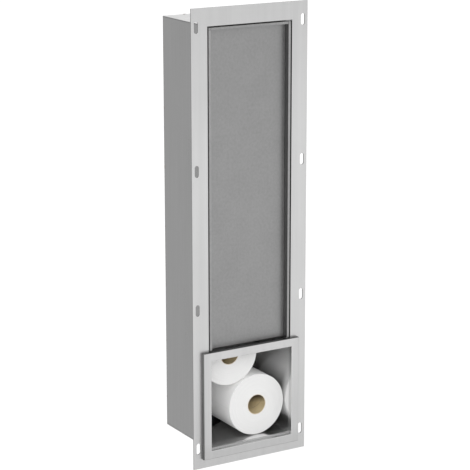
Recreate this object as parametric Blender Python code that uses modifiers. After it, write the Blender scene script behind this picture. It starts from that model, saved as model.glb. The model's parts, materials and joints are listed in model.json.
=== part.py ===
"""Recessed stainless-steel container for toilet rolls.

A tall sheet-metal box is let into a wall behind a slotted mounting flange. A tile-tray door on two
pivots closes the shaft, and an open niche with a raised trim frame gives out the rolls at the bottom.

Metres, +Z up. +X is to the right as seen from the room, and +Y points into the wall. The origin lies
on the wall plane, which is the flange's back face, on the centre line of the bottom flange strip.
"""

import math

import bmesh
import bpy
from mathutils import Vector

# Overall sizes
FLANGE_WIDTH = 0.227
FLANGE_HEIGHT = 0.800
FLANGE_THICKNESS = 0.002
FLANGE_BOTTOM = -0.016
BOX_WIDTH = 0.1674
BOX_DEPTH = 0.148
BOX_BOTTOM = 0.0165
BOX_TOP = 0.754
SHEET = 0.0012
FOLD_WIDTH = 0.012
FOLD_RADIUS = 0.0016
SMALL_FOLD_RADIUS = 0.0009
GAP = 0.0003

# Slots in the flange, with their heights above its bottom edge
SLOT_X = 0.104
SLOT_WIDTH = 0.0075
SLOT_LENGTH = 0.020
SLOT_HEIGHTS = (0.037, 0.286, 0.5275, 0.7685)

# Raised trim frame around the niche
FRAME_OUTER = 0.193
FRAME_BAR = 0.0152
FRAME_PROUD = 0.0075
FRAME_CENTRE_Z = 0.0971
FRAME_EDGE_RADIUS = 0.0016
STUD_X = 0.089
STUD_RISE = 0.060
STUD_RADIUS = 0.0015
STUD_END_Y = 0.006
NUT_FLATS = 0.0055
NUT_HEIGHT = 0.0024

# Door: a recessed sheet between rim bars
DOOR_WIDTH = 0.160
DOOR_BOTTOM = 0.1945
DOOR_TOP = 0.7503
RIM_WIDTH = 0.0043
RIM_DEPTH = 0.0120
DOOR_SHEET = 0.0010

# Upright pivot axis inside the right rim bar
PIVOT_X = DOOR_WIDTH / 2 - RIM_WIDTH / 2
PIVOT_Y = 0.0014
PIN_RADIUS = 0.0012
PIN_IN_DOOR = 0.007
PIN_HEAD_RADIUS = 0.003
PIN_HEAD_HEIGHT = 0.0012
WASHER_RADIUS = 0.0023
BRACKET_LEFT = 0.070
BRACKET_FRONT = -0.0009
BRACKET_BACK = 0.028
BRACKET_RIVETS_Y = (0.0155, 0.0235)

# Angle across the shaft below the door
RAIL_FRONT = -0.0017
RAIL_BACK = 0.020
RAIL_BOTTOM = 0.180
RAIL_TOP = 0.1912

# Push-to-open catch at the door's free corner
CATCH_X = -0.066
CATCH_Z = 0.7415
CATCH_FRONT = 0.0145
CATCH_BACK = 0.054
CATCH_RADIUS = 0.006
CATCH_BORE = 0.0041
CATCH_BORE_END = 0.050
EAR_LENGTH = 0.020
EAR_WIDTH = 0.028
EAR_THICKNESS = 0.003
EAR_Y = 0.036
WEB_WIDTH = 0.0084
WEB_LENGTH = 0.018
WEB_RISE = 0.003
PLUNGER_RADIUS = 0.00375
PLUNGER_BACK = 0.036
MAGNET_RADIUS = 0.0034
MAGNET_THICKNESS = 0.0018
MAGNET_FRONT = 0.0116
SPRING_TURNS = 6
SPRING_RADIUS = 0.0029
SPRING_WIRE = 0.00035
RIVET_RADIUS = 0.0016
RIVET_HEAD_RADIUS = 0.0032
RIVET_TAIL_RADIUS = 0.0024
RIVET_HEAD_HEIGHT = 0.0011
RIVET_SPACING = 0.0205
STRIKE_SIDE = 0.016
STRIKE_THICKNESS = 0.001

# Door stops on the left wall
STOP_HEIGHTS = (0.245, 0.700)
STOP_HEIGHT = 0.020
STOP_REACH = 0.012
STOP_FRONT = 0.0120
STOP_DEPTH = 0.0090
BUMPER_REACH = 0.0074
BUMPER_RADIUS = 0.0035
BUMPER_FRONT = 0.0103

# Toilet rolls
ROLL_RADIUS = 0.05575
ROLL_LENGTH = 0.098
ROLL_BORE = 0.0190
ROLL_EDGE = 0.0012
CORE_WALL = 0.0012
LOWER_ROLL_X = 0.0252
LOWER_ROLL_FRONT = 0.017
UPPER_ROLL_FRONT = 0.023

# How finely round things are divided
ROLL_SIDES = 56
CORE_SIDES = 32
BORE_SIDES = 24
PIN_SIDES = 16
HOLE_SIDES = 12
SPRING_SIDES = 10
SHARP_ANGLE = math.radians(35)

# Worked out from the sizes above
WALL_X = BOX_WIDTH / 2 - SHEET
FLOOR_Z = BOX_BOTTOM + SHEET
CEILING_Z = BOX_TOP - SHEET
BACK_Y = BOX_DEPTH - SHEET
DOOR_SHEET_BACK = -FLANGE_THICKNESS + RIM_DEPTH
DOOR_SHEET_FRONT = DOOR_SHEET_BACK - DOOR_SHEET
LOWER_ROLL_Z = FLOOR_Z + GAP + ROLL_RADIUS
UPPER_ROLL_X = -WALL_X + GAP + ROLL_RADIUS
ROLL_STEP = math.sqrt((2 * ROLL_RADIUS + GAP) ** 2 - (LOWER_ROLL_X - UPPER_ROLL_X) ** 2)
UPPER_ROLL_Z = LOWER_ROLL_Z + ROLL_STEP

PARTS = "toilet_roll_container"
CUTTERS = "cutters"


# ---------------------------------------------------------------- scene and materials


def clear_scene():
    for item in list(bpy.data.objects):
        bpy.data.objects.remove(item, do_unlink=True)
    for name in (PARTS, CUTTERS):
        bpy.context.scene.collection.children.link(bpy.data.collections.new(name))


def material(name, colour, roughness, metallic):
    """A Principled material, made once for each name."""
    found = bpy.data.materials.get(name)
    if found:
        return found
    made = bpy.data.materials.new(name)
    made.use_nodes = True
    made.diffuse_color = (*colour, 1.0)
    shader = made.node_tree.nodes["Principled BSDF"]
    shader.inputs["Base Color"].default_value = (*colour, 1.0)
    shader.inputs["Roughness"].default_value = roughness
    shader.inputs["Metallic"].default_value = metallic
    return made


def flange_steel():
    return material("brushed_stainless", (0.60, 0.60, 0.60), 0.38, 1.0)


def box_steel():
    return material("matt_stainless_sheet", (0.42, 0.42, 0.43), 0.50, 1.0)


def door_steel():
    return material("grey_steel_sheet", (0.30, 0.30, 0.30), 0.60, 1.0)


def fastener_steel():
    return material("bright_steel", (0.62, 0.61, 0.59), 0.30, 1.0)


def nylon():
    return material("grey_nylon", (0.22, 0.22, 0.23), 0.55, 0.0)


def rubber():
    return material("clear_grey_rubber", (0.10, 0.10, 0.10), 0.80, 0.0)


def paper():
    return material("white_tissue", (0.82, 0.82, 0.82), 0.95, 0.0)


def cardboard():
    return material("brown_cardboard", (0.30, 0.24, 0.13), 0.90, 0.0)


# ---------------------------------------------------------------- building blocks


def place(name, data, finish=None, location=(0, 0, 0), collection=PARTS):
    """An object in a collection, with one material."""
    made = bpy.data.objects.new(name, data)
    made.location = location
    if finish:
        data.materials.append(finish)
    bpy.data.collections[collection].objects.link(made)
    return made


def mesh_from(name, shape):
    """A mesh from a bmesh, which is freed."""
    bmesh.ops.recalc_face_normals(shape, faces=shape.faces)
    data = bpy.data.meshes.new(name)
    shape.to_mesh(data)
    shape.free()
    return data


def block(name, low, high, finish, collection=PARTS):
    """A box between two corners, with its origin at its centre."""
    low = Vector(low)
    high = Vector(high)
    shape = bmesh.new()
    bmesh.ops.create_cube(shape, size=1.0)
    bmesh.ops.scale(shape, vec=high - low, verts=shape.verts)
    return place(name, mesh_from(name, shape), finish, (low + high) / 2, collection)


def drum(name, centre, radius, length, direction, finish, sides=BORE_SIDES, collection=PARTS):
    """A cylinder about its centre, along X, Y or Z. Six sides make a hexagon."""
    shape = bmesh.new()
    bmesh.ops.create_cone(
        shape, cap_ends=True, segments=sides, radius1=radius, radius2=radius, depth=length
    )
    tilt = Vector((0, 0, 1)).rotation_difference(Vector(direction)).to_matrix()
    bmesh.ops.rotate(shape, cent=(0, 0, 0), matrix=tilt, verts=shape.verts)
    made = place(name, mesh_from(name, shape), finish, centre, collection)
    if sides > 6:
        soften(made)
    return made


def cutter(made):
    """Marks an object as a cutter, which the build leaves out."""
    made.hide_render = True
    made.display_type = "WIRE"
    return made


def drill(name, centre, radius, length, direction, sides=HOLE_SIDES):
    """A round cutter for a hole."""
    return cutter(drum(name, centre, radius, length, direction, None, sides, CUTTERS))


def combine(target, other, operation):
    """A Boolean modifier on the target that takes the other object in or out."""
    change = target.modifiers.new(f"{operation.lower()}_{other.name}", "BOOLEAN")
    change.operation = operation
    change.object = other
    change.solver = "EXACT"


def soften(made):
    """Smooth shading, but not across sharp edges."""
    made.data.shade_smooth()
    made.data.set_sharp_from_angle(angle=SHARP_ANGLE)


def rounded(points, radius, steps=4):
    """An open path whose inner corners are arcs of the given radius."""
    path = [Vector(points[0])]
    for before, corner, after in zip(points, points[1:], points[2:]):
        corner = Vector(corner)
        back = (Vector(before) - corner).normalized()
        ahead = (Vector(after) - corner).normalized()
        half = back.angle(ahead) / 2
        centre = corner + (back + ahead).normalized() * radius / math.sin(half)
        start = corner + back * radius / math.tan(half) - centre
        turn = start.angle_signed(corner + ahead * radius / math.tan(half) - centre)
        for step in range(steps + 1):
            angle = -turn * step / steps
            path.append(centre + Vector((
                start.x * math.cos(angle) - start.y * math.sin(angle),
                start.x * math.sin(angle) + start.y * math.cos(angle),
            )))
    path.append(Vector(points[-1]))
    return path


def folded_sheet(name, path, lift, start, end, finish, fold_radius=FOLD_RADIUS):
    """Sheet that follows a path of middle points, drawn out from start to end along lift.

    For lift "X" the path is in (Y, Z), and for lift "Z" it is in (X, Y).
    """
    shape = bmesh.new()
    rows = []
    for point in rounded(path, fold_radius):
        if lift == "X":
            ends = ((start, point.x, point.y), (end, point.x, point.y))
        else:
            ends = ((point.x, point.y, start), (point.x, point.y, end))
        rows.append([shape.verts.new(spot) for spot in ends])
    for first, second in zip(rows, rows[1:]):
        shape.faces.new((first[0], first[1], second[1], second[0]))
    made = place(name, mesh_from(name, shape), finish)
    solidify(made, SHEET)
    return made


def solidify(made, thickness):
    """Gives a surface its thickness, half to each side."""
    change = made.modifiers.new("sheet_thickness", "SOLIDIFY")
    change.thickness = thickness
    change.offset = 0.0
    change.use_even_offset = True


def turned(name, profile, centre, finish, direction=(0, 0, 1), steps=PIN_SIDES, closed=False):
    """A solid of revolution from (radius, height) points that run down its outer side."""
    data = bpy.data.meshes.new(name)
    points = [(radius, 0, height) for radius, height in profile]
    edges = [(i, i + 1) for i in range(len(points) - 1)]
    if closed:
        edges.append((len(points) - 1, 0))
    data.from_pydata(points, edges, [])
    made = place(name, data, finish, centre)
    made.rotation_euler = Vector((0, 0, 1)).rotation_difference(Vector(direction)).to_euler()
    screw = made.modifiers.new("turn", "SCREW")
    screw.axis = "Z"
    screw.steps = steps
    screw.render_steps = steps
    screw.use_merge_vertices = True
    screw.merge_threshold = 0.00001
    screw.use_smooth_shade = True
    return made


def dome(radius, height):
    """Profile points of a low dome, from its top down to its rim."""
    turns = [math.radians(angle) for angle in (90, 60, 30, 0)]
    return [(radius * math.cos(turn), height * math.sin(turn)) for turn in turns]


def rectangle(half_width, low, high):
    return [(-half_width, low), (half_width, low), (half_width, high), (-half_width, high)]


def circle(centre, radius, sides=HOLE_SIDES):
    turn = 2 * math.pi / sides
    return [
        (centre[0] + radius * math.cos(i * turn), centre[1] + radius * math.sin(i * turn))
        for i in range(sides)
    ]


def upright_slot(centre, width, length, steps=8):
    """A slot outline with half-round ends, its long side upright."""
    radius = width / 2
    reach = length / 2 - radius
    points = []
    for side in (1, -1):
        for step in range(steps + 1):
            angle = math.pi * step / steps + (0 if side > 0 else math.pi)
            points.append((
                centre[0] + radius * math.cos(angle),
                centre[1] + side * reach + radius * math.sin(angle),
            ))
    return points


def upright_plate(name, outlines, thickness, middle, finish):
    """A flat plate in the XZ plane. The first outline is its edge and the others are holes."""
    shape = bmesh.new()
    edges = []
    for outline in outlines:
        row = [shape.verts.new((across, 0, up)) for across, up in outline]
        edges += [shape.edges.new(pair) for pair in zip(row, row[1:] + row[:1])]
    bmesh.ops.triangle_fill(shape, use_beauty=True, edges=edges, normal=(0, -1, 0))
    made = place(name, mesh_from(name, shape), finish, (0, middle, 0))
    solidify(made, thickness)


def pivot(name, spot):
    """An empty on a joint's axis, which the moving pieces hang from."""
    made = place(name, None, None, spot)
    made.empty_display_size = 0.02
    return made


def hang(pieces, parent):
    """Parents pieces to an empty, and keeps them where they are."""
    for piece in pieces:
        piece.location = piece.location - parent.location
        piece.parent = parent


# ---------------------------------------------------------------- casing


def stud_spots():
    """The four places of the trim frame's studs, as name, x and z."""
    return [
        (f"{side}_{row}", sign * STUD_X, FRAME_CENTRE_Z + rise * STUD_RISE)
        for side, sign in (("left", -1), ("right", 1))
        for row, rise in (("lower", -1), ("upper", 1))
    ]


def opening():
    """Outline of the flange's opening, as wide as the box at the door and as the frame at the niche."""
    narrow = FRAME_OUTER / 2 - FRAME_BAR
    step = FRAME_CENTRE_Z + narrow + GAP
    right = [(narrow, FLOOR_Z), (narrow, step), (WALL_X, step), (WALL_X, CEILING_Z)]
    return right + [(-across, up) for across, up in reversed(right)]


def mounting_flange():
    """Flat plate with its opening, slots and stud holes."""
    top = FLANGE_BOTTOM + FLANGE_HEIGHT
    outlines = [rectangle(FLANGE_WIDTH / 2, FLANGE_BOTTOM, top), opening()]
    for height in SLOT_HEIGHTS:
        for side in (-1, 1):
            spot = (side * SLOT_X, FLANGE_BOTTOM + height)
            outlines.append(upright_slot(spot, SLOT_WIDTH, SLOT_LENGTH))
    for _, across, up in stud_spots():
        outlines.append(circle((across, up), STUD_RADIUS + GAP))
    middle = -FLANGE_THICKNESS / 2
    upright_plate("mounting_flange", outlines, FLANGE_THICKNESS, middle, flange_steel())


def side_panels():
    """Left and right sheets, each folded outwards behind the flange and drilled for the studs."""
    low = BOX_BOTTOM + SHEET + GAP
    high = BOX_TOP - SHEET - GAP
    front = GAP + SHEET / 2
    for side, sign in (("left", -1), ("right", 1)):
        wall = sign * (BOX_WIDTH / 2 - SHEET / 2)
        path = [(wall + sign * FOLD_WIDTH, front), (wall, front), (wall, BACK_Y - GAP)]
        panel = folded_sheet(f"side_panel_{side}", path, "Z", low, high, box_steel())
        for name, across, up in stud_spots():
            if across * sign > 0:
                spot = (across, front, up)
                hole = drill(f"stud_hole_{name}", spot, STUD_RADIUS + GAP, 4 * SHEET, (0, 1, 0))
                combine(panel, hole, "DIFFERENCE")


def back_panel():
    half = BOX_WIDTH / 2
    block("back_panel", (-half, BACK_Y, BOX_BOTTOM), (half, BOX_DEPTH, BOX_TOP), box_steel())


def end_panels():
    """Top and bottom sheets, each folded outwards behind the flange."""
    half = BOX_WIDTH / 2
    front = GAP + SHEET / 2
    for name, level, outward in (
        ("top_panel", BOX_TOP - SHEET / 2, 1),
        ("bottom_panel", BOX_BOTTOM + SHEET / 2, -1),
    ):
        path = [(front, level + outward * FOLD_WIDTH), (front, level), (BACK_Y - GAP, level)]
        panel = folded_sheet(name, path, "X", -half, half, box_steel())
        if outward > 0:
            rivet_holes(panel, catch_rivet_spots() + bracket_rivet_spots(), level)


def divider_rail():
    """Angle across the shaft below the door: a flat ledge with its rear edge folded down."""
    half = SHEET / 2
    path = [
        (RAIL_FRONT, RAIL_TOP - half),
        (RAIL_BACK - half, RAIL_TOP - half),
        (RAIL_BACK - half, RAIL_BOTTOM),
    ]
    reach = WALL_X - GAP
    rail = folded_sheet("divider_rail", path, "X", -reach, reach, box_steel(), SMALL_FOLD_RADIUS)
    spot = (PIVOT_X, PIVOT_Y, RAIL_TOP)
    hole = drill("lower_pin_hole", spot, PIN_RADIUS + GAP, 6 * SHEET, (0, 0, 1))
    combine(rail, hole, "DIFFERENCE")


def niche_frame():
    """Square ring of channel section, open towards the flange, with four studs."""
    half = SHEET / 2
    back = -FLANGE_THICKNESS - GAP
    front = -FLANGE_THICKNESS - FRAME_PROUD + half
    section = [(half, back), (half, front), (FRAME_BAR - half, front), (FRAME_BAR - half, back)]
    shape = bmesh.new()
    rings = []
    for inset, depth in rounded(section, FRAME_EDGE_RADIUS - half):
        reach = FRAME_OUTER / 2 - inset
        rings.append([
            shape.verts.new((across * reach, depth, up * reach))
            for across, up in ((-1, -1), (1, -1), (1, 1), (-1, 1))
        ])
    for first, second in zip(rings, rings[1:]):
        for i in range(4):
            following = (i + 1) % 4
            shape.faces.new((first[i], first[following], second[following], second[i]))
    data = mesh_from("niche_frame", shape)
    frame = place("niche_frame", data, flange_steel(), (0, 0, FRAME_CENTRE_Z))
    solidify(frame, SHEET)
    length = STUD_END_Y - front
    for name, across, up in stud_spots():
        stud = drill(f"stud_{name}", (across, front + length / 2, up), STUD_RADIUS, length, (0, 1, 0))
        combine(frame, stud, "UNION")


def frame_nuts():
    start = GAP + SHEET + GAP
    for name, across, up in stud_spots():
        spot = (across, start + NUT_HEIGHT / 2, up)
        corner = NUT_FLATS / math.sqrt(3)
        nut = drum(f"frame_nut_{name}", spot, corner, NUT_HEIGHT, (0, 1, 0), fastener_steel(), 6)
        bore = drill(f"nut_bore_{name}", spot, STUD_RADIUS + GAP, 2 * NUT_HEIGHT, (0, 1, 0))
        combine(nut, bore, "DIFFERENCE")


# ---------------------------------------------------------------- door and pivots


def door_bar(name, left, right, low, high):
    """A rim bar of the door between two widths and two heights."""
    front = -FLANGE_THICKNESS
    return block(name, (left, front, low), (right, front + RIM_DEPTH, high), door_steel())


def door():
    """The tray: a recessed sheet, two stiles and a top rail. Its lower edge has no rim."""
    outer = DOOR_WIDTH / 2
    inner = outer - RIM_WIDTH
    left = door_bar("door_stile_left", -outer, -inner, DOOR_BOTTOM, DOOR_TOP)
    right = door_bar("door_stile_right", inner, outer, DOOR_BOTTOM, DOOR_TOP)
    for name, end in (("upper", DOOR_TOP), ("lower", DOOR_BOTTOM)):
        spot = (PIVOT_X, PIVOT_Y, end)
        depth = 2 * (PIN_IN_DOOR + 2 * GAP)
        bore = drill(f"{name}_pivot_bore", spot, PIN_RADIUS + GAP, depth, (0, 0, 1), PIN_SIDES)
        combine(right, bore, "DIFFERENCE")
    reach = inner - GAP
    top = door_bar("door_top_rail", -reach, reach, DOOR_TOP - RIM_WIDTH, DOOR_TOP)
    low = (-reach, DOOR_SHEET_FRONT, DOOR_BOTTOM)
    high = (reach, DOOR_SHEET_BACK, DOOR_TOP - RIM_WIDTH - GAP)
    panel = block("door_panel", low, high, door_steel())
    half = STRIKE_SIDE / 2
    front = DOOR_SHEET_BACK + GAP
    low = (CATCH_X - half, front, CATCH_Z - half)
    high = (CATCH_X + half, front + STRIKE_THICKNESS, CATCH_Z + half)
    strike = block("strike_plate", low, high, fastener_steel())
    axis = pivot("door_axis", (PIVOT_X, PIVOT_Y, (DOOR_BOTTOM + DOOR_TOP) / 2))
    hang([left, right, top, panel, strike], axis)


def upper_pivot():
    """Plate under the top panel with a welded pin that reaches down into the door's stile."""
    top = CEILING_Z - GAP
    bottom = top - SHEET
    low = (BRACKET_LEFT, BRACKET_FRONT, bottom)
    high = (WALL_X - GAP, BRACKET_BACK, top)
    bracket = block("upper_pivot_bracket", low, high, fastener_steel())
    end = DOOR_TOP - PIN_IN_DOOR
    length = bottom + SHEET / 2 - end
    spot = (PIVOT_X, PIVOT_Y, end + length / 2)
    pin = drill("upper_pin", spot, PIN_RADIUS, length, (0, 0, 1), PIN_SIDES)
    combine(bracket, pin, "UNION")
    rivet_holes(bracket, bracket_rivet_spots(), bottom)


def lower_pivot_pin():
    """Headed pin that goes up through the divider rail into the door's stile."""
    seat = RAIL_TOP - SHEET - GAP
    shank = DOOR_BOTTOM + PIN_IN_DOOR - seat
    profile = dome(PIN_HEAD_RADIUS, PIN_HEAD_HEIGHT) + [
        (PIN_RADIUS, 0),
        (PIN_RADIUS, -shank + PIN_RADIUS / 2),
        (PIN_RADIUS / 2, -shank),
        (0, -shank),
    ]
    turned("lower_pivot_pin", profile, (PIVOT_X, PIVOT_Y, seat), fastener_steel(), (0, 0, -1))


def pivot_washers():
    for name, low, high in (
        ("upper", DOOR_TOP + GAP, CEILING_Z - SHEET - 2 * GAP),
        ("lower", RAIL_TOP + GAP, DOOR_BOTTOM - GAP),
    ):
        profile = [
            (WASHER_RADIUS, high - low),
            (WASHER_RADIUS, 0),
            (PIN_RADIUS + GAP, 0),
            (PIN_RADIUS + GAP, high - low),
        ]
        turned(f"{name}_pivot_washer", profile, (PIVOT_X, PIVOT_Y, low), nylon(), closed=True)


# ---------------------------------------------------------------- catch and stops


def catch_rivet_spots():
    """The catch's two rivets, as name, x and y."""
    half = RIVET_SPACING / 2
    return [
        ("latch_rivet_left", CATCH_X - half, EAR_Y),
        ("latch_rivet_right", CATCH_X + half, EAR_Y),
    ]


def bracket_rivet_spots():
    """The upper pivot bracket's two rivets, as name, x and y."""
    across = (BRACKET_LEFT + WALL_X) / 2
    return [
        (f"pivot_rivet_{name}", across, deep)
        for name, deep in zip(("front", "rear"), BRACKET_RIVETS_Y)
    ]


def rivet_holes(sheet, spots, level):
    """Drills a sheet, at the given level, for the rivets at the given spots."""
    for name, across, deep in spots:
        spot = (across, deep, level)
        hole = drill(f"{name}_hole_in_{sheet.name}", spot, RIVET_RADIUS + GAP, 6 * SHEET, (0, 0, 1))
        combine(sheet, hole, "DIFFERENCE")


def catch_block(name, width, length, low, high):
    """A block of the catch's housing, centred on its ear, between two heights."""
    corner = (CATCH_X - width / 2, EAR_Y - length / 2, low)
    opposite = (CATCH_X + width / 2, EAR_Y + length / 2, high)
    return cutter(block(name, corner, opposite, None, CUTTERS))


def catch_housing():
    """Barrel under a mounting ear, bored from the front for the plunger."""
    length = CATCH_BACK - CATCH_FRONT
    middle = (CATCH_X, CATCH_FRONT + length / 2, CATCH_Z)
    housing = drum("latch_housing", middle, CATCH_RADIUS, length, (0, 1, 0), nylon())
    top = CEILING_Z - GAP
    ear = catch_block("catch_ear", EAR_WIDTH, EAR_LENGTH, top - EAR_THICKNESS, top)
    web = catch_block("catch_web", WEB_WIDTH, WEB_LENGTH, CATCH_Z + WEB_RISE, top - EAR_THICKNESS / 2)
    mouth = (CATCH_X, CATCH_FRONT, CATCH_Z)
    depth = 2 * (CATCH_BORE_END - CATCH_FRONT)
    bore = drill("catch_bore", mouth, CATCH_BORE, depth, (0, 1, 0), BORE_SIDES)
    combine(housing, ear, "UNION")
    combine(housing, web, "UNION")
    combine(housing, bore, "DIFFERENCE")
    rivet_holes(housing, catch_rivet_spots(), top)


def rivets():
    """Rivets through the top panel, with a domed head above and a set tail below what they hold."""
    for spots, held in ((catch_rivet_spots(), EAR_THICKNESS), (bracket_rivet_spots(), SHEET)):
        grip = SHEET + held + 3 * GAP
        profile = dome(RIVET_HEAD_RADIUS, RIVET_HEAD_HEIGHT) + [
            (RIVET_RADIUS, 0),
            (RIVET_RADIUS, -grip),
            (RIVET_TAIL_RADIUS, -grip),
            (RIVET_TAIL_RADIUS, -grip - RIVET_HEAD_HEIGHT),
            (0, -grip - RIVET_HEAD_HEIGHT),
        ]
        for name, across, deep in spots:
            turned(name, profile, (across, deep, BOX_TOP + GAP), fastener_steel())


def catch_plunger():
    """Plunger with a magnet at its tip. It slides straight back when the door is pressed."""
    start = MAGNET_FRONT + MAGNET_THICKNESS + GAP
    length = PLUNGER_BACK - start
    spot = (CATCH_X, start + length / 2, CATCH_Z)
    rod = drum("latch_plunger", spot, PLUNGER_RADIUS, length, (0, 1, 0), nylon())
    spot = (CATCH_X, MAGNET_FRONT + MAGNET_THICKNESS / 2, CATCH_Z)
    magnet = drum("latch_magnet", spot, MAGNET_RADIUS, MAGNET_THICKNESS, (0, 1, 0), fastener_steel())
    axis = pivot("latch_axis", (CATCH_X, start, CATCH_Z))
    hang([rod, magnet], axis)


def catch_spring():
    """Coil spring between the plunger and the bottom of the bore."""
    start = PLUNGER_BACK + GAP + SPRING_WIRE
    rise = CATCH_BORE_END - GAP - SPRING_WIRE - start
    count = SPRING_TURNS * SPRING_SIDES
    data = bpy.data.curves.new("latch_spring", "CURVE")
    data.dimensions = "3D"
    data.bevel_depth = SPRING_WIRE
    data.bevel_resolution = 1
    data.use_fill_caps = True
    spline = data.splines.new("POLY")
    spline.points.add(count)
    for i, point in enumerate(spline.points):
        angle = 2 * math.pi * i / SPRING_SIDES
        across = SPRING_RADIUS * math.cos(angle)
        up = SPRING_RADIUS * math.sin(angle)
        point.co = (across, rise * i / count, up, 1)
    place("latch_spring", data, fastener_steel(), (CATCH_X, start, CATCH_Z))


def door_stops():
    """Bent tabs on the left wall with rubber bumpers, which the door's sheet closes on."""
    half = SHEET / 2
    wall = -WALL_X + GAP + half
    front = STOP_FRONT + half
    for name, height in zip(("lower", "upper"), STOP_HEIGHTS):
        path = [(wall, STOP_FRONT + STOP_DEPTH), (wall, front), (wall + STOP_REACH, front)]
        low = height - STOP_HEIGHT / 2
        high = low + STOP_HEIGHT
        folded_sheet(f"door_stop_{name}", path, "Z", low, high, box_steel(), SMALL_FOLD_RADIUS)
        base = STOP_FRONT - GAP
        profile = dome(BUMPER_RADIUS, base - BUMPER_FRONT) + [(0, 0)]
        spot = (wall + BUMPER_REACH, base, height)
        turned(f"door_bumper_{name}", profile, spot, rubber(), (0, -1, 0))


# ---------------------------------------------------------------- rolls


def roll(name, across, up, front):
    """A wound roll and its cardboard core, with their axis along Y."""
    edge = ROLL_EDGE
    length = ROLL_LENGTH
    profile = [
        (ROLL_RADIUS - edge, length),
        (ROLL_RADIUS, length - edge),
        (ROLL_RADIUS, edge),
        (ROLL_RADIUS - edge, 0),
        (ROLL_BORE, 0),
        (ROLL_BORE, length),
    ]
    spot = (across, front + length, up)
    winding = turned(f"{name}_paper", profile, spot, paper(), (0, -1, 0), ROLL_SIDES, True)
    outside = ROLL_BORE - GAP
    inside = outside - CORE_WALL
    profile = [(outside, length), (outside, 0), (inside, 0), (inside, length)]
    core = turned(f"{name}_core", profile, spot, cardboard(), (0, -1, 0), CORE_SIDES, True)
    axis = pivot(f"{name}_axis", (across, front, up))
    hang([winding, core], axis)


def rolls():
    roll("lower_roll", LOWER_ROLL_X, LOWER_ROLL_Z, LOWER_ROLL_FRONT)
    roll("upper_roll", UPPER_ROLL_X, UPPER_ROLL_Z, UPPER_ROLL_FRONT)


def main():
    clear_scene()
    mounting_flange()
    side_panels()
    back_panel()
    end_panels()
    divider_rail()
    niche_frame()
    frame_nuts()
    door()
    upper_pivot()
    lower_pivot_pin()
    pivot_washers()
    catch_housing()
    rivets()
    catch_plunger()
    catch_spring()
    door_stops()
    rolls()


main()
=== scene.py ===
"""Looks of the recessed container for toilet rolls: finishes, wound rolls, sheet-metal detail and light."""

import json
import math
import random

import bmesh
import bpy
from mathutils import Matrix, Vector

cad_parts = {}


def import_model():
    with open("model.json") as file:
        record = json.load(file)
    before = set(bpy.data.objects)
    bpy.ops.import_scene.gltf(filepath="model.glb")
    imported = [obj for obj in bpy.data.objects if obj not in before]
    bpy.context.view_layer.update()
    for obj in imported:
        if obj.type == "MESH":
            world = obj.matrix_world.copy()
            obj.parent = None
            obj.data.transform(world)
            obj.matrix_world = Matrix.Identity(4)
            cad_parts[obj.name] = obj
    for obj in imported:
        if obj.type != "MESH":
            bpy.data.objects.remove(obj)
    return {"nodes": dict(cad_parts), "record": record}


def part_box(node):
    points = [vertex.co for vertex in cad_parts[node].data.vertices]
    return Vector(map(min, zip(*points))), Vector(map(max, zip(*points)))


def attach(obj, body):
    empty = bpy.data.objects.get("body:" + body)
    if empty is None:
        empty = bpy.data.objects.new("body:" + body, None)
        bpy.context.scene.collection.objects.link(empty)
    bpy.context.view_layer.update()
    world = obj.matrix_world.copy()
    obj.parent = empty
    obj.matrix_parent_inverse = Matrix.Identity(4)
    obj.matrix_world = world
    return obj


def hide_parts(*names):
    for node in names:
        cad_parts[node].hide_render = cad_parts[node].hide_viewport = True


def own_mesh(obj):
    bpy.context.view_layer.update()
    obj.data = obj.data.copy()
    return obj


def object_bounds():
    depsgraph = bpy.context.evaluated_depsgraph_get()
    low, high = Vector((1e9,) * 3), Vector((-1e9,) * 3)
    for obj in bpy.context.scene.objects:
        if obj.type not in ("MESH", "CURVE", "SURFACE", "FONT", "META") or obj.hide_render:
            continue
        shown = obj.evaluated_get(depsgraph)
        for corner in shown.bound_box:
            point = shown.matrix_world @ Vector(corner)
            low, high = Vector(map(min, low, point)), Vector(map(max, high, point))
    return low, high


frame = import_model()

cad_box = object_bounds()
nodes = frame["nodes"]

# Camera: how it is turned and tilted, what it looks at and from how far
CAMERA_YAW = math.radians(30.82)
CAMERA_TILT = math.radians(14.2)
CAMERA_ROLL = math.radians(0.07)
CAMERA_DISTANCE = 3.172
CAMERA_TARGET = Vector((-0.0278, 0.0, 0.3928))
CAMERA_LENS = 142.7
CAMERA_SENSOR = 36.0
CAMERA_REACH = 200.0

FLOOR_DROP = 0.45
FLOOR_SIZE = 60.0

# Lamps, as energy, elevation, direction they stand in (0 is in front, positive is to the right) and width
SUNS = {
    "front_left_sun": (1.05, 14, -33, 50),
    "front_right_sun": (0.35, 14, 35, 60),
    "back_right_sun": (0.35, 17, 150, 50),
}
WORLD_LIGHT = 1.0

# Rounding of the sheet edges
ROUNDED_SHEETS = (
    "mounting_flange", "niche_frame", "door_stile_left", "door_stile_right", "door_top_rail",
    "divider_rail", "side_panel_left", "side_panel_right", "back_panel", "top_panel", "bottom_panel",
    "door_panel", "latch_housing", "door_stop_lower", "door_stop_upper", "upper_pivot_bracket",
    "strike_plate",
)
SHEET_EDGE = 0.00025
SHEET_EDGE_STEPS = 2
SHEET_EDGE_ANGLE = math.radians(35)
MERGE_REACH = 0.000001

# Tack welds
WELD_COUNT = 7
WELD_LENGTH = 0.007
WELD_RADIUS = 0.0006
WELD_ROWS = 16
WELD_SIDES = 10
WELD_RIPPLES = 4
WELD_RIPPLE = 0.14
LYING_WELDS = (-0.5, 0.0, 0.5)

# Spring of the push catch
COIL_WIRE = 0.00035
COIL_TURNS = 6
COIL_STEPS = 28
COIL_SIDES = 10
COIL_CLOSED_END = 0.08
COIL_SHARP = math.radians(50)

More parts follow.
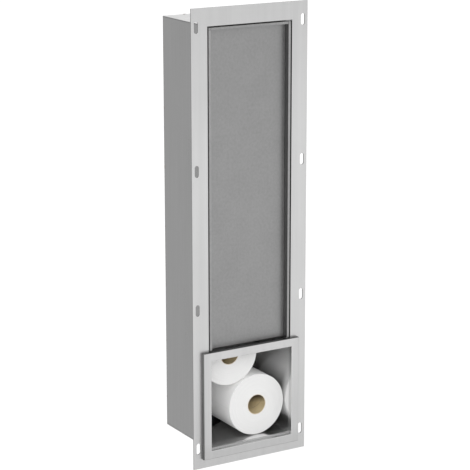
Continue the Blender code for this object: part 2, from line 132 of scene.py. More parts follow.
# Wound rolls and their cores
ROLL_SEEDS = {"lower_roll": 3, "upper_roll": 8}
ROLL_SIDES = 192
ROLL_SHARP = math.radians(40)
LAYER_STEP = 0.0016
LAYER_SHIFT = 0.00012
EDGE_ROUNDING = 0.0012
EDGE_STEPS = 4
SIDE_RINGS = 12
SIDE_SWELL = 0.00012
TAIL_STEP = 0.0004
TAIL_ANGLE = math.radians(292)
CORE_SIDES = 96
CORE_WALL = 0.0012
CORE_EDGE = 0.0002
CORE_CLEARANCE = 0.00005


# ---------------------------------------------------------------- shader helpers


def grey(level):
    return (level, level, level)


class Finish:
    """A material under construction, with short calls for the nodes that the finishes share.

    x, y and z are the place on the piece. facing_x, facing_y and facing_z are the direction it faces.
    A mask is 1 where it holds and 0 elsewhere.
    """

    def __init__(self, name):
        self.material = bpy.data.materials.new(name)
        self.material.use_nodes = True
        self.tree = self.material.node_tree
        self.shader = self.tree.nodes["Principled BSDF"]
        coordinates = self.add("ShaderNodeTexCoord").outputs
        self.place = coordinates["Object"]
        self.x, self.y, self.z = self.split(self.place)
        self.facing_x, self.facing_y, self.facing_z = self.split(coordinates["Normal"])

    def add(self, kind, **values):
        node = self.tree.nodes.new(kind)
        for key, value in values.items():
            setattr(node, key, value)
        return node

    def link(self, source, target):
        self.tree.links.new(source, target)

    def fill(self, sockets, values):
        """Sets each socket to a number, or links it to another socket."""
        for socket, value in zip(sockets, values):
            if isinstance(value, (int, float)):
                socket.default_value = value
            else:
                self.link(value, socket)

    def split(self, source):
        node = self.add("ShaderNodeSeparateXYZ")
        self.link(source, node.inputs["Vector"])
        return node.outputs

    def vector(self, first, second=0.0, third=0.0):
        """Vector of three sockets or numbers, to sample a noise by."""
        node = self.add("ShaderNodeCombineXYZ")
        self.fill(node.inputs, (first, second, third))
        return node.outputs["Vector"]

    def noise(self, scale, detail=2.0, roughness=0.5, source=None):
        """Noise from 0 to 1 whose grains have the given size along each axis, as a scale per metre."""
        stretched = self.add("ShaderNodeMapping")
        stretched.inputs["Scale"].default_value = scale
        self.link(source or self.place, stretched.inputs["Vector"])
        node = self.add("ShaderNodeTexNoise")
        node.inputs["Scale"].default_value = 1.0
        node.inputs["Detail"].default_value = detail
        node.inputs["Roughness"].default_value = roughness
        self.link(stretched.outputs["Vector"], node.inputs["Vector"])
        return node.outputs["Fac"]

    def math(self, operation, first, second=0.0, clamp=False):
        node = self.add("ShaderNodeMath", operation=operation, use_clamp=clamp)
        self.fill(node.inputs, (first, second))
        return node.outputs["Value"]

    def product(self, *factors):
        result = factors[0]
        for factor in factors[1:]:
            result = self.math("MULTIPLY", result, factor)
        return result

    def total(self, *terms):
        result = terms[0]
        for term in terms[1:]:
            result = self.math("ADD", result, term)
        return result

    def less(self, first, second):
        return self.math("SUBTRACT", first, second)

    def size(self, source):
        return self.math("ABSOLUTE", source)

    def above(self, source, limit):
        return self.math("GREATER_THAN", source, limit)

    def below(self, source, limit):
        return self.math("LESS_THAN", source, limit)

    def without(self, mask, taken):
        """A mask less another mask."""
        return self.math("SUBTRACT", mask, taken, clamp=True)

    def remap(self, source, low, high, start=0.0, end=1.0):
        """Turns start..end of the source into low..high, without going past them."""
        node = self.add("ShaderNodeMapRange")
        for key, value in (("From Min", start), ("From Max", end), ("To Min", low), ("To Max", high)):
            node.inputs[key].default_value = value
        self.link(source, node.inputs["Value"])
        return node.outputs["Result"]

    def rise(self, source, start, end):
        """Mask that grows from 0 at start to 1 at end."""
        return self.remap(source, 0.0, 1.0, start, end)

    def fall(self, source, start, end):
        """Mask that shrinks from 1 at start to 0 at end."""
        return self.remap(source, 1.0, 0.0, start, end)

    def spread(self, source, reach, start, end):
        """Turns start..end of a noise into a change from -reach to reach."""
        return self.remap(source, -reach, reach, start, end)

    def toned(self, mask, factor):
        """The factor within a mask, and 1 elsewhere."""
        return self.remap(mask, 1.0, factor)

    def spots(self, along, spacing, across, centre, radius):
        """Mask of round marks that stand in a row, fading over the last quarter of their radius."""
        phase = self.math("FLOORED_MODULO", along, spacing)
        first = self.less(phase, spacing / 2)
        second = self.less(across, centre)
        squares = self.total(self.product(first, first), self.product(second, second))
        return self.fall(self.math("SQRT", squares), radius * 0.75, radius)

    def mix(self, factor, first, second):
        """Colour between two colours or sockets."""
        node = self.add("ShaderNodeMix", data_type="RGBA")
        for key, value in ((0, factor), (6, first), (7, second)):
            if isinstance(value, tuple):
                node.inputs[key].default_value = (*value, 1.0)
            else:
                self.fill((node.inputs[key],), (value,))
        return node.outputs[2]

    def colour(self, source):
        self.link(source, self.shader.inputs["Base Color"])

    def roughness(self, source):
        self.link(source, self.shader.inputs["Roughness"])

    def metallic(self, source):
        self.fill((self.shader.inputs["Metallic"],), (source,))

    def bump(self, height, distance):
        node = self.add("ShaderNodeBump")
        node.inputs["Distance"].default_value = distance
        self.link(height, node.inputs["Height"])
        self.link(node.outputs["Normal"], self.shader.inputs["Normal"])


# ---------------------------------------------------------------- metals


# Grain of the metals, as the scale of its noise for each axis: low along the brush marks
UPRIGHT_GRAIN = (700.0, 700.0, 9.0)
BOX_GRAIN = (60.0, 60.0, 9.0)
DOOR_GRAIN = (230.0, 230.0, 210.0)
EVEN_GRAIN = grey(900.0)

# How far a mask goes past the faces that it is for
HALF_SHEET = 0.0006
MARGIN = 0.0002

# Share of its direction from which a face counts as turned that way, loosely or closely
TURNED = 0.6
SQUARE = 0.7


def steel(name, level, rough, grain, streak=0.02, drift=0.02, cloud=0.015, wear=0.05, grain_bump=0.00002):
    """Sheet steel with a level of grey and a roughness. Its streaks, drift and clouds vary the grey."""
    finish = Finish(name)
    finish.metallic(1.0)
    fine = finish.noise(grain, detail=3.0, roughness=0.6)
    broad = finish.noise(tuple(size * 0.12 for size in grain))
    patches = finish.noise((14.0, 14.0, 9.0), detail=3.0, roughness=0.55)
    marks = finish.total(finish.spread(fine, streak, 0.3, 0.7), finish.spread(broad, drift, 0.35, 0.65))
    tone = finish.total(marks, finish.spread(patches, cloud, 0.3, 0.7))
    finish.tone = finish.product(finish.total(tone, 1.0), level)
    varied = finish.total(finish.spread(fine, wear, 0.3, 0.7), finish.spread(patches, 0.6 * wear, 0.3, 0.7))
    finish.rough = finish.total(varied, rough)
    finish.bump(fine, grain_bump)
    return finish


def finished(finish):
    """Links a steel's tone and roughness once all its changes are in."""
    finish.colour(finish.tone)
    finish.roughness(finish.rough)
    return finish.material


# Brushed faces: where their tone changes and where shade is painted, and by how much
FOOT_SHADE, FOOT_FADE = 0.87, (-0.016, 0.16)
HEAD_TONE, HEAD_FADE = 0.87, (0.55, 0.78)
FRAME_STARTS = -0.004
OPENING_REACH, OPENING_TOP = 0.0836, 0.7535
LOWER_BAR_SHADE, LOWER_BAR_FADE = 0.93, (0.014, 0.030)
RETURN_SHADE, FRONT_TONE = 0.34, 0.9
UPWARD_SHADE = 0.38
GAP_SHADE = 0.15
NICHE_RETURN_LEVEL = 0.45
NICHE_RETURN_POLISH = 0.10


def brushed_stainless():
    """Brushed front faces with painted shade towards the bottom, on the frame's lower bar, on the returns, on
    upward faces and on the edges beside the door, darker towards the top, and with polished niche edges.
    """
    finish = steel("brushed_stainless", 0.62, 0.36, UPRIGHT_GRAIN)
    low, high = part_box("niche_frame")
    # Painted shade: the faces darken towards the bottom, standing in for a dimmer reflection there.
    foot = finish.remap(finish.z, FOOT_SHADE, 1.0, *FOOT_FADE)
    head = finish.remap(finish.z, 1.0, HEAD_TONE, *HEAD_FADE)
    # Painted shade on the frame's lower bar.
    lower_bar = finish.product(finish.below(finish.y, FRAME_STARTS), finish.fall(finish.z, *LOWER_BAR_FADE))
    front = finish.rise(finish.size(finish.facing_y), 0.6, 1.0)
    within = finish.below(finish.size(finish.x), OPENING_REACH)
    beside_door = finish.product(within, finish.above(finish.z, high.z), finish.below(finish.z, OPENING_TOP))
    # Painted shade on the faces in the gap beside the door.
    gap = finish.without(beside_door, finish.product(beside_door, front))
    up = finish.size(finish.less(finish.z, (low.z + high.z) / 2))
    niche = finish.product(within, finish.below(up, OPENING_REACH))
    niche_return = finish.without(niche, finish.product(niche, front))
    outer = finish.product(
        finish.tone,
        foot,
        head,
        finish.toned(lower_bar, LOWER_BAR_SHADE),
        # Painted shade on the returns and on upward faces.
        finish.remap(front, RETURN_SHADE, FRONT_TONE),
        finish.remap(finish.facing_z, 1.0, UPWARD_SHADE, 0.5, 0.9),
        finish.toned(gap, GAP_SHADE),
    )
    finish.tone = finish.total(outer, finish.product(niche_return, NICHE_RETURN_LEVEL))
    finish.rough = finish.less(finish.rough, finish.product(niche_return, NICHE_RETURN_POLISH))
    return finished(finish)


# Inner faces of the box: where their tone changes, where light, shade and reflection are painted, and by how
# much
# The inner levels lie far above OUTSIDE_LEVEL: painted light inside the box, on top of its polished inside
# finish.
SHAFT_FADE, NICHE_LEVEL, SHAFT_LEVEL = (0.18, 0.30), 0.94, 0.78
BACK_TONE = 0.55
MOUTH_SHADE, MOUTH_FADE = 0.2, (0.0035, 0.0065)
REFLECTED_FRONT, REFLECTED_LEFT, REFLECTED_LEAST = (0.010, 0.026), (-0.04, -0.01), 0.35
REFLECTED_DIMMING, FLOOR_SHADE_DIMMING = 0.12, 0.64
ROLL_SHADE_TONE = 0.4
ROLL_SHADE_FOOT, ROLL_SHADE_HEAD = (0.050, 0.080), (0.098, 0.134)
ROLL_SHADE_SLANT, ROLL_SHADE_FRONT = 0.4, (0.056, 0.067)
HAZE, HAZE_FADE, FLOOR_HAZE = 0.185, (0.045, 0.13), 0.3
INSIDE_ROUGH, OUTSIDE_ROUGH = 0.23, 0.30
BACK_ROUGH, FLOOR_POLISH = 0.20, 0.09

# Outer faces of the box and the rail: where they lie, their tone, and the painted light on the rail's top
REAR_STARTS = 0.1473
RAIL_REACH, RAIL_DEPTH, RAIL_FOOT, RAIL_HEAD = 0.0824, 0.021, 0.1795, 0.1915
OUTSIDE_LEVEL = 0.25
SIDE_PLAY = 0.25
LEDGE_LIGHT = 1.6

# Spot-weld marks on the folds behind the flange: spacing, place across the fold and radius
UPRIGHT_MARKS = (0.060, 0.0891)
LEVEL_MARKS = (0.050, 0.7597)
MARK_RADIUS = 0.0026
FOLD_ENDS = 0.004
MARK_TONE, MARK_ROUGH = 0.62, 0.15


def inner_level(finish, floor, back):
    """Grey of the polished inner faces, set far above the outer faces' grey as painted light: darker at the
    back and in the shaft, with painted shade on the floor, in the gap beside the door and on the right wall
    beside the lower roll, and a painted reflection near the floor's front.
    """
    # Painted shade darkens the floor, less near its front and right, where a painted reflection of the lower
    # roll's end lightens it.
    painted_floor_reflection = finish.product(
        finish.fall(finish.y, *REFLECTED_FRONT),
        finish.remap(finish.x, REFLECTED_LEAST, 1.0, *REFLECTED_LEFT),
    )
    varied = finish.product(floor, finish.remap(painted_floor_reflection, FLOOR_SHADE_DIMMING, REFLECTED_DIMMING))
    # Painted shade on the right wall beside the lower roll.
    painted_roll_shade = finish.product(
        finish.above(finish.x, 0.08),
        finish.rise(finish.z, *ROLL_SHADE_FOOT),
        finish.fall(finish.z, *ROLL_SHADE_HEAD),
        finish.rise(finish.total(finish.y, finish.product(finish.z, ROLL_SHADE_SLANT)), *ROLL_SHADE_FRONT),
    )
    # Painted shade on the inner walls just behind the front, above the niche frame, in the gap beside the
    # door.
    over_frame = finish.above(finish.z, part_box("niche_frame")[1].z)
    mouth = finish.product(finish.fall(finish.y, *MOUTH_FADE), over_frame)
    return finish.product(
        finish.remap(finish.z, NICHE_LEVEL, SHAFT_LEVEL, *SHAFT_FADE),
        finish.toned(back, BACK_TONE),
        finish.less(1.0, varied),
        finish.toned(mouth, MOUTH_SHADE),
        finish.toned(painted_roll_shade, ROLL_SHADE_TONE),
    )


def outer_level(finish, stains, rail, play):
    """Grey of the box's dull outer faces and of the rail, with painted light on the rail's upward faces. Play
    is how much of the stains shows.
    """
    brushed = finish.noise((260.0, 260.0, 5.0), detail=4.0, roughness=0.65)
    marks = finish.total(finish.spread(brushed, 0.03, 0.3, 0.7), finish.spread(stains, 0.035, 0.3, 0.7))
    # Painted light on the rail's upward faces, which lie in shade under the door.
    ledge = finish.product(rail, finish.above(finish.facing_z, TURNED))
    level = finish.total(finish.product(marks, play), OUTSIDE_LEVEL)
    return finish.product(level, finish.toned(ledge, LEDGE_LIGHT))


def stainless_sheet():
    """Box sheet, polished inside and dull outside, its inner faces toned far brighter as painted light, with
    spot-weld marks on the folds behind the flange.
    """
    finish = steel(
        "stainless_sheet", 1.0, 0.0, BOX_GRAIN,
        streak=0.008, drift=0.008, cloud=0.01, wear=0.02, grain_bump=0.000001,
    )
    floor_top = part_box("bottom_panel")[1].z
    across = finish.size(finish.x)
    rail = finish.product(
        finish.below(across, RAIL_REACH),
        finish.below(finish.y, RAIL_DEPTH),
        finish.above(finish.z, RAIL_FOOT),
        finish.below(finish.z, RAIL_HEAD),
    )
    hollow = finish.product(
        finish.below(across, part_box("side_panel_right")[0].x + HALF_SHEET),
        finish.below(finish.y, REAR_STARTS),
        finish.above(finish.z, floor_top - HALF_SHEET),
        finish.below(finish.z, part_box("top_panel")[0].z + HALF_SHEET),
    )
    inside = finish.without(hollow, rail)
    outside = finish.less(1.0, inside)
    floor = finish.below(finish.z, floor_top + 2 * MARGIN)
    back = finish.above(finish.size(finish.facing_y), TURNED)
    stains = finish.noise((9.0, 9.0, 5.0), detail=5.0, roughness=0.6)
    play = finish.remap(finish.above(finish.y, REAR_STARTS), SIDE_PLAY, 1.0)
    # The inside's far brighter level is painted light.
    level = finish.total(
        finish.product(inner_level(finish, floor, back), inside),
        finish.product(outer_level(finish, stains, rail, play), outside),
    )
    fold = finish.product(finish.above(finish.facing_y, SQUARE), finish.below(finish.y, FOLD_ENDS))
    upright = finish.spots(finish.z, UPRIGHT_MARKS[0], across, UPRIGHT_MARKS[1], MARK_RADIUS)
    lying = finish.spots(across, LEVEL_MARKS[0], finish.z, LEVEL_MARKS[1], MARK_RADIUS)
    mark = finish.product(fold, finish.math("MAXIMUM", upright, lying))
    finish.tone = finish.product(finish.tone, level, finish.toned(mark, MARK_TONE))
    finish.rough = finish.total(
        finish.rough,
        finish.remap(inside, OUTSIDE_ROUGH, INSIDE_ROUGH),
        finish.product(inside, back, BACK_ROUGH),
        finish.product(inside, floor, -FLOOR_POLISH),
        finish.product(finish.remap(stains, -0.06, 0.08, 0.35, 0.65), play, outside),
        finish.product(mark, MARK_ROUGH),
    )
    misted = finish.remap(finish.z, 0.0, HAZE, *HAZE_FADE)
    haze = finish.product(inside, misted, finish.toned(floor, FLOOR_HAZE))
    finish.metallic(finish.less(1.0, haze))
    return finished(finish)


# Door: where the tone of its sheet and rim changes, where light and shade are painted, and by how much
DOOR_FOOT_LIGHT, DOOR_FOOT_FADE = 1.15, 0.014
DOOR_HEAD_TONE = 0.93
DOOR_SIDE_LIGHT, DOOR_SIDE_FADE = 1.3, 0.004
RIM_INNER_SHADE = 0.40
RIM_OUTER_LIGHT, RIM_UPWARD_LIGHT, RIM_METALLIC = 1.5, 2.1, 0.65
LIP_TONE, TOP_LIP_TONE = 1.09, 0.96
DOOR_MARK_SPACING, DOOR_MARK_INSET, DOOR_MARK_RADIUS, DOOR_MARK_TONE = 0.055, 0.0045, 0.0024, 0.66


def door_sheet():
    """Dull mottled sheet of the door and its rim bars, with painted light along the panel's foot, beside the
    right stile and on rim faces in the gaps, and painted shade on the right stile.
    """
    finish = steel("door_sheet", 0.275, 0.42, DOOR_GRAIN, streak=0.075, drift=0.018)
    low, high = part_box("door_panel")
    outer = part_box("door_stile_right")[1].x
    rail_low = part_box("door_top_rail")[0]
    across = finish.size(finish.x)
    beside = finish.less(high.x, finish.x)
    marks = finish.spots(finish.z, DOOR_MARK_SPACING, across, high.x - DOOR_MARK_INSET, DOOR_MARK_RADIUS)
    mark = finish.product(finish.above(finish.facing_y, SQUARE), marks)
    sides = finish.product(
        finish.above(across, outer - 2 * MARGIN),
        finish.above(finish.size(finish.facing_x), TURNED),
    )
    upward = finish.above(finish.facing_z, TURNED)
    rim = finish.math("MAXIMUM", sides, upward)
    level = finish.product(
        # Painted light along the panel's foot, which lies in the frame's shade.
        finish.remap(finish.less(finish.z, low.z), DOOR_FOOT_LIGHT, 1.0, 0.0, DOOR_FOOT_FADE),
        finish.remap(finish.z, 1.0, DOOR_HEAD_TONE, (low.z + high.z) / 2, high.z),
        # Painted light on the panel beside the right stile.
        finish.remap(beside, DOOR_SIDE_LIGHT, 1.0, 0.0, DOOR_SIDE_FADE),
        # Painted shade on the right stile, which shows on its inner side.
        finish.remap(beside, RIM_INNER_SHADE, 1.0, -MARGIN, 0.0),
        finish.toned(mark, DOOR_MARK_TONE),
        # Painted light on the rim's outer sides and upward faces, which lie in the gaps.
        finish.toned(sides, RIM_OUTER_LIGHT),
        finish.toned(upward, RIM_UPWARD_LIGHT),
    )
    lip = finish.product(finish.below(finish.y, 0.0), finish.below(finish.facing_y, -TURNED))
    lip_level = finish.remap(finish.z, LIP_TONE, TOP_LIP_TONE, rail_low.z - 0.001, rail_low.z)
    level = finish.total(finish.product(level, finish.less(1.0, lip)), finish.product(lip_level, lip))
    finish.tone = finish.product(finish.tone, level)
    finish.metallic(finish.toned(rim, RIM_METALLIC))
    return finished(finish)


# Painted shade on the pivot bracket's front edge, in the gap above the door
BRACKET_EDGE_SHADE = 0.4


def bright_steel():
    """Fasteners and fittings. The pivot bracket's front edge, in the gap above the door, carries painted
    shade.
    """
    finish = steel("bright_steel", 0.62, 0.28, EVEN_GRAIN)
    over_door = finish.above(finish.z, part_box("door_top_rail")[1].z)
    # Painted shade on the bracket's front edge.
    edge = finish.product(finish.below(finish.y, 0.0), over_door)
    finish.tone = finish.product(finish.tone, finish.toned(edge, BRACKET_EDGE_SHADE))
    return finished(finish)


def weld_metal():
    """Weld bead: rippled, and tinted brown by the heat in places."""
    finish = Finish("weld_metal")
    finish.metallic(1.0)
    ripple = finish.noise(EVEN_GRAIN)
    tint = finish.noise(grey(350.0))
    finish.colour(finish.mix(finish.remap(tint, 0.0, 0.8, 0.35, 0.7), grey(0.30), (0.26, 0.20, 0.15)))
    finish.roughness(finish.remap(ripple, 0.35, 0.55))
    finish.bump(ripple, 0.00008)
    return finish.material


# ---------------------------------------------------------------- other finishes


def nylon():
    finish = Finish("nylon")
    speckle = finish.noise(grey(1500.0))
    finish.colour(finish.mix(speckle, grey(0.16), grey(0.24)))
    finish.roughness(finish.remap(speckle, 0.45, 0.6))
    finish.bump(speckle, 0.00003)
    return finish.material


def rubber():
    finish = Finish("rubber")
    speckle = finish.noise(EVEN_GRAIN)
    finish.colour(finish.mix(speckle, grey(0.03), grey(0.06)))
    finish.roughness(finish.remap(speckle, 0.7, 0.9))
    return finish.material


def radial(finish):
    """Distance from the Y axis and angle about it."""
    squares = finish.total(finish.product(finish.x, finish.x), finish.product(finish.z, finish.z))
    return finish.math("SQRT", squares), finish.math("ARCTAN2", finish.z, finish.x)


# Paper: the radius its side is laid out by, the length of a sheet and its perforation
PAPER_RADIUS = 0.0556
PAPER_SHEET = 0.1165
PERFORATION_AT = 0.058
PERFORATION_WIDTH = (0.0002, 0.0006)
HOLE_SPACING = 0.0022
HOLE_LENGTH = 0.0012


def tissue():
    """Wound tissue: fine cut layers on the ends, toned darker than the side as painted shade, soft embossing
    and perforations on the side.
    """
    finish = Finish("tissue")
    reach, turn = radial(finish)
    wound = finish.vector(reach, turn)
    arc = finish.product(turn, PAPER_RADIUS)
    fibre = finish.noise(EVEN_GRAIN, detail=4.0, roughness=0.7)
    layers = finish.noise((4200.0, 1.2, 1.0), detail=2.0, roughness=0.6, source=wound)
    bands = finish.noise((420.0, 0.8, 1.0), detail=1.0, source=wound)
    unrolled = finish.vector(arc, finish.y)
    emboss = finish.noise((420.0, 420.0, 1.0), detail=1.0, roughness=0.4, source=unrolled)
    from_line = finish.size(finish.less(finish.math("FLOORED_MODULO", arc, PAPER_SHEET), PERFORATION_AT))
    dash = finish.below(finish.math("FLOORED_MODULO", finish.y, HOLE_SPACING), HOLE_LENGTH)
    holes = finish.product(finish.fall(from_line, *PERFORATION_WIDTH), dash)
    end = finish.rise(finish.size(finish.facing_y), 0.3, 0.8)
    side = finish.less(1.0, end)
    # Painted shade: the cut ends are toned well below the side.
    cut_and_shade_level = finish.total(finish.remap(layers, 0.63, 0.69), finish.spread(bands, 0.01, 0.3, 0.7))
    side_level = finish.less(finish.remap(fibre, 0.92, 0.97), finish.product(holes, 0.12))
    level = finish.total(finish.product(cut_and_shade_level, end), finish.product(side_level, side))
    finish.colour(finish.mix(level, grey(0.0), (1.0, 0.998, 0.992)))
    finish.roughness(finish.remap(fibre, 0.85, 1.0))
    finish.shader.inputs["Specular IOR Level"].default_value = 0.25
    soft = finish.total(finish.product(fibre, 0.5), finish.product(emboss, 1.2), finish.product(holes, -0.6))
    finish.bump(finish.total(finish.product(layers, end), finish.product(soft, side)), 0.00015)
    return finish.material


# Cardboard: the pitch of its plies, its seam as a share of that pitch, and where light and shade are painted
# in its bore
PLY_PITCH = 0.07
SEAM_WIDTH = (0.006, 0.016)
DEEP_LIGHT, DEEP_FADE = 0.75, 0.034
LOW_LIGHT, LOW_FADE = 0.25, (-0.012, -0.002)
SHADE, SHADE_FADE = 0.9, (0.001, 0.012)
SHADE_SLANT = 0.3


def cardboard():
    """Spiral-wound cardboard with the seam of its plies, with painted shade overhead in the bore and painted
    light far in and low down.
    """
    finish = Finish("cardboard")
    turn = radial(finish)[1]
    half = middle("lower_roll_core")[2]
    fibre = finish.noise(grey(700.0), detail=4.0, roughness=0.7)
    blotch = finish.noise(grey(160.0))
    winding = finish.total(finish.product(turn, 0.5 / math.pi), finish.product(finish.y, 1 / PLY_PITCH), 10.0)
    phase = finish.math("FRACT", winding)
    seam = finish.fall(finish.size(finish.less(phase, 0.5)), *SEAM_WIDTH)
    depth = finish.less(half, finish.size(finish.y))
    overhead = finish.total(finish.z, finish.product(depth, SHADE_SLANT))
    tone = finish.total(
        finish.product(fibre, 0.15),
        finish.product(blotch, 0.10),
        # Painted light far into the bore and low down in it.
        finish.remap(depth, 0.0, DEEP_LIGHT, 0.0, DEEP_FADE),
        finish.remap(overhead, LOW_LIGHT, 0.0, *LOW_FADE),
    )
    base = finish.mix(tone, (0.42, 0.34, 0.20), (0.97, 0.81, 0.50))
    base = finish.mix(finish.product(seam, 0.45), base, (0.34, 0.26, 0.15))
    base = finish.mix(finish.remap(overhead, 0.0, SHADE, *SHADE_FADE), base, (0.05, 0.035, 0.02))
    end = finish.above(finish.size(finish.facing_y), SQUARE)
    finish.colour(finish.mix(end, base, (0.62, 0.56, 0.47)))
    finish.roughness(finish.remap(fibre, 0.8, 0.95))
    finish.bump(finish.less(fibre, finish.product(seam, 1.5)), 0.0001)
    return finish.material


# ---------------------------------------------------------------- CAD nodes


def dress(slot_materials):
    """Gives every CAD node the finish of its slot in the record."""
    for part in frame["record"]["subparts"]:
        made = nodes[part["node"]]
        made.data.materials.clear()
        made.data.materials.append(slot_materials[part["material_slot"]])


def soften_edges(names):
    """Rounds the sharp edges of CAD nodes a little, and shades their faces evenly."""
    for name in names:
        data = nodes[name].data
        for layer in ("custom_normal", "sharp_edge", "sharp_face"):
            if layer in data.attributes:
                data.attributes.remove(data.attributes[layer])
        data.shade_smooth()
        weld = nodes[name].modifiers.new("weld", "WELD")
        weld.merge_threshold = MERGE_REACH
        bevel = nodes[name].modifiers.new("soft_edges", "BEVEL")
        bevel.width = SHEET_EDGE
        bevel.segments = SHEET_EDGE_STEPS
        bevel.limit_method = "ANGLE"
        bevel.angle_limit = SHEET_EDGE_ANGLE
        even = nodes[name].modifiers.new("even_shading", "WEIGHTED_NORMAL")
        even.keep_sharp = False


# ---------------------------------------------------------------- mesh helpers


def placed(name, shape, finish):
    """Turns a bmesh into an object of the scene."""
    data = bpy.data.meshes.new(name)
    shape.to_mesh(data)
    shape.free()
    data.materials.append(finish)
    made = bpy.data.objects.new(name, data)
    bpy.context.scene.collection.objects.link(made)
    return made


def smooth(name, shape, finish, sharp=None):
    """Turns a closed bmesh into an object, shaded smooth but for edges sharper than an angle."""
    bmesh.ops.recalc_face_normals(shape, faces=shape.faces)
    made = placed(name, shape, finish)
    made.data.shade_smooth()
    if sharp:
        made.data.set_sharp_from_angle(angle=sharp)
    return made


def skin(shape, rings):
    """Faces along a row of rings of vertices, with both ends closed."""
    sides = len(rings[0])
    for first, second in zip(rings, rings[1:]):
        for side in range(sides):
            following = (side + 1) % sides
            shape.faces.new((first[side], first[following], second[following], second[side]))
    shape.faces.new(rings[0][::-1])
    shape.faces.new(rings[-1])


# ---------------------------------------------------------------- welds


def weld_bead(shape, spot, lying):
    """A short rippled bead, long on Z, or on X when lying."""
    rings = []
    for row in range(1, WELD_ROWS):
        share = row / WELD_ROWS
        ripple = 1 + WELD_RIPPLE * math.sin(2 * math.pi * WELD_RIPPLES * share)
        radius = WELD_RADIUS * math.sqrt(1 - (2 * share - 1) ** 2) * ripple
        reach = (share - 0.5) * WELD_LENGTH
        loop = []
        for side in range(WELD_SIDES):
            angle = 2 * math.pi * side / WELD_SIDES
            first = radius * math.cos(angle)
            second = radius * math.sin(angle)
            offset = (reach, first, second) if lying else (first, second, reach)
            loop.append(shape.verts.new(Vector(spot) + Vector(offset)))
        rings.append(loop)
    skin(shape, rings)


def corner_welds(finish):
    """Tack welds on the seams between the back of the box and its other four sheets."""
    shape = bmesh.new()
    low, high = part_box("back_panel")
    for row in range(WELD_COUNT):
        up = low.z + (high.z - low.z) * (row + 0.5) / WELD_COUNT
        for across in (low.x, high.x):
            weld_bead(shape, (across, low.y, up), False)
    for across in LYING_WELDS:
        for up in (low.z, high.z):
            weld_bead(shape, (across * high.x, low.y, up), True)
    made = smooth("corner_welds", shape, finish)
    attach(made, "housing")


# ---------------------------------------------------------------- catch


def latch_coil(finish):
    """Round-wire spring with closed ends."""
    low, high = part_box("latch_spring")
    centre = (low + high) / 2
    winding = (high.x - low.x) / 2 - COIL_WIRE
    start = low.y + COIL_WIRE
    rise = high.y - COIL_WIRE - start
    count = COIL_TURNS * COIL_STEPS
    slope = rise / (2 * math.pi * COIL_TURNS * winding)
    shape = bmesh.new()
    rings = []
    for step in range(count + 1):
        angle = 2 * math.pi * step / COIL_STEPS
        share = (step / count - COIL_CLOSED_END) / (1 - 2 * COIL_CLOSED_END)
        outward = Vector((math.cos(angle), 0, math.sin(angle)))
        tangent = Vector((-math.sin(angle), slope, math.cos(angle))).normalized()
        sideways = tangent.cross(outward)
        spot = Vector((centre.x, start + rise * min(max(share, 0), 1), centre.z)) + winding * outward
        loop = []
        for side in range(COIL_SIDES):
            turn = 2 * math.pi * side / COIL_SIDES
            reach = math.cos(turn) * outward + math.sin(turn) * sideways
            loop.append(shape.verts.new(spot + COIL_WIRE * reach))
        rings.append(loop)
    skin(shape, rings)
    made = smooth("latch_coil", shape, finish, COIL_SHARP)
    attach(made, "housing")
    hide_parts("latch_spring")
    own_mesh(made)


# ---------------------------------------------------------------- rolls


def ring(shape, sides, radius, depth, shrink=0.0):
    """Vertices around the Y axis. With a shrink, the ring starts that much inside its end."""
    made = []
    for step in range(sides + 1 if shrink else sides):
        angle = TAIL_ANGLE + 2 * math.pi * step / sides
        reach = radius - shrink * (1 - step / sides)
        made.append(shape.verts.new((reach * math.cos(angle), depth, reach * math.sin(angle))))
    return made if shrink else made + made[:1]


def band(shape, first, second):
    """Faces between two rings, and the ledge where one of them starts inside its end."""
    for step in range(len(first) - 1):
        shape.faces.new((first[step], first[step + 1], second[step + 1], second[step]))
    corners = []
    for corner in (first[-1], first[0], second[0], second[-1]):
        if corner not in corners:
            corners.append(corner)
    if len(corners) > 2:
        shape.faces.new(corners)


def revolved(name, sides, profile, centre, finish):
    """A closed ring of rings. Each profile point is a radius, a depth and, for some, a shrink."""
    shape = bmesh.new()
    rings = [ring(shape, sides, *point) for point in profile]
    for first, second in zip(rings, rings[1:] + rings[:1]):
        band(shape, first, second)
    made = smooth(name, shape, finish, ROLL_SHARP)
    made.location = centre
    return made


def middle(node):
    """Centre of a CAD node, its radius about Y and half its length."""
    low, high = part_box(node)
    return (low + high) / 2, (high.x - low.x) / 2, (high.y - low.y) / 2


def layered_end(chance, bore, outer, half, side):
    """Profile of one end from the bore to the start of the side, its layers standing unevenly."""
    flat = outer - EDGE_ROUNDING - bore
    layers = round(flat / LAYER_STEP)
    profile = []
    for layer in range(layers + 1):
        depth = half - chance.uniform(0, LAYER_SHIFT)
        profile.append((bore + flat * layer / layers, side * depth, 0.0))
    for step in range(1, EDGE_STEPS + 1):
        angle = math.pi / 2 * step / EDGE_STEPS
        radius = outer - EDGE_ROUNDING * (1 - math.sin(angle))
        depth = half - EDGE_ROUNDING * (1 - math.cos(angle))
        profile.append((radius, side * depth, TAIL_STEP * step / EDGE_STEPS))
    return profile


def tube_profile(inner, outer, half):
    """Profile of a core with bevelled edges, round from its inner edge at the front."""
    return [
        (inner + CORE_EDGE, -half),
        (outer - CORE_EDGE, -half),
        (outer, CORE_EDGE - half),
        (outer, half - CORE_EDGE),
        (outer - CORE_EDGE, half),
        (inner + CORE_EDGE, half),
        (inner, half - CORE_EDGE),
        (inner, CORE_EDGE - half),
    ]


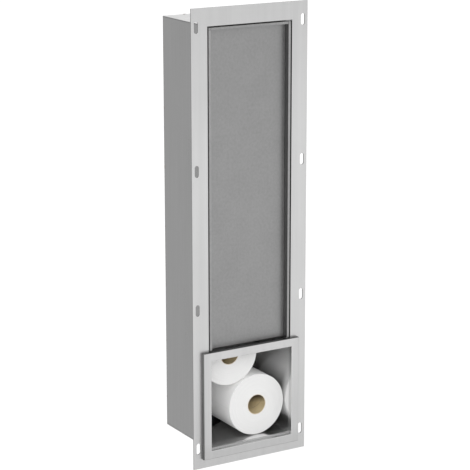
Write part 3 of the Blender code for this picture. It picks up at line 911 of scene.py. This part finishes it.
def wound_roll(name, body, seed, paper_finish, core_finish):
    """Tissue wound on a core. The loose end of the paper lies on the side as a low ledge."""
    chance = random.Random(seed)
    centre, outer, half = middle(f"{name}_paper")
    core_centre, core_outer, core_half = middle(f"{name}_core")
    bore = core_outer + CORE_CLEARANCE
    profile = layered_end(chance, bore, outer, half, -1)
    for step in range(1, SIDE_RINGS):
        depth = (half - EDGE_ROUNDING) * (2 * step / SIDE_RINGS - 1)
        profile.append((outer - chance.uniform(0, SIDE_SWELL), depth, TAIL_STEP))
    profile += reversed(layered_end(chance, bore, outer, half, 1))
    paper = revolved(f"{name}_tissue", ROLL_SIDES, profile, centre, paper_finish)
    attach(paper, body)
    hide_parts(f"{name}_paper")
    outline = tube_profile(core_outer - CORE_WALL, core_outer, core_half)
    core = revolved(f"{name}_tube", CORE_SIDES, outline, core_centre, core_finish)
    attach(core, body)
    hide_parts(f"{name}_core")


# ---------------------------------------------------------------- stage


def pale_floor():
    finish = Finish("pale_floor")
    patches = finish.noise(grey(0.8))
    finish.colour(finish.mix(patches, grey(0.93), grey(0.95)))
    finish.shader.inputs["Roughness"].default_value = 0.9
    finish.shader.inputs["Specular IOR Level"].default_value = 0.1
    return finish.material


def floor():
    shape = bmesh.new()
    bmesh.ops.create_grid(shape, x_segments=2, y_segments=2, size=FLOOR_SIZE / 2)
    made = placed("floor", shape, pale_floor())
    made.location = (0, 0, cad_box[0].z - FLOOR_DROP)


def world():
    made = bpy.data.worlds.new("studio")
    bpy.context.scene.world = made
    made.use_nodes = True
    background = made.node_tree.nodes["Background"]
    background.inputs["Color"].default_value = (1, 1, 1, 1)
    background.inputs["Strength"].default_value = WORLD_LIGHT


def sun(name, energy, elevation, side, width):
    """A soft sun. It stands in front for side 0, at the right for 90 and behind for 180."""
    data = bpy.data.lights.new(name, "SUN")
    data.energy = energy
    data.angle = math.radians(width)
    made = bpy.data.objects.new(name, data)
    made.rotation_euler = (math.radians(90 - elevation), 0, math.radians(side))
    bpy.context.scene.collection.objects.link(made)


def camera():
    data = bpy.data.cameras.new("camera")
    data.lens = CAMERA_LENS
    data.sensor_width = CAMERA_SENSOR
    data.clip_end = CAMERA_REACH
    made = bpy.data.objects.new("camera", data)
    forward = Vector((
        math.sin(CAMERA_YAW) * math.cos(CAMERA_TILT),
        math.cos(CAMERA_YAW) * math.cos(CAMERA_TILT),
        -math.sin(CAMERA_TILT),
    ))
    made.location = CAMERA_TARGET - forward * CAMERA_DISTANCE
    made.rotation_euler = (math.pi / 2 - CAMERA_TILT, CAMERA_ROLL, -CAMERA_YAW)
    bpy.context.scene.collection.objects.link(made)
    bpy.context.scene.camera = made


camera()
slot_materials = {
    "brushed_stainless": brushed_stainless(),
    "stainless_sheet": stainless_sheet(),
    "door_sheet": door_sheet(),
    "bright_steel": bright_steel(),
    "nylon": nylon(),
    "rubber": rubber(),
    "tissue": tissue(),
    "cardboard": cardboard(),
}
dress(slot_materials)
soften_edges(ROUNDED_SHEETS)
corner_welds(weld_metal())
latch_coil(slot_materials["bright_steel"])
for name, seed in ROLL_SEEDS.items():
    wound_roll(name, name, seed, slot_materials["tissue"], slot_materials["cardboard"])
floor()
world()
for name, (energy, elevation, side, width) in SUNS.items():
    sun(name, energy, elevation, side, width)
bpy.context.scene.view_settings.view_transform = "Standard"
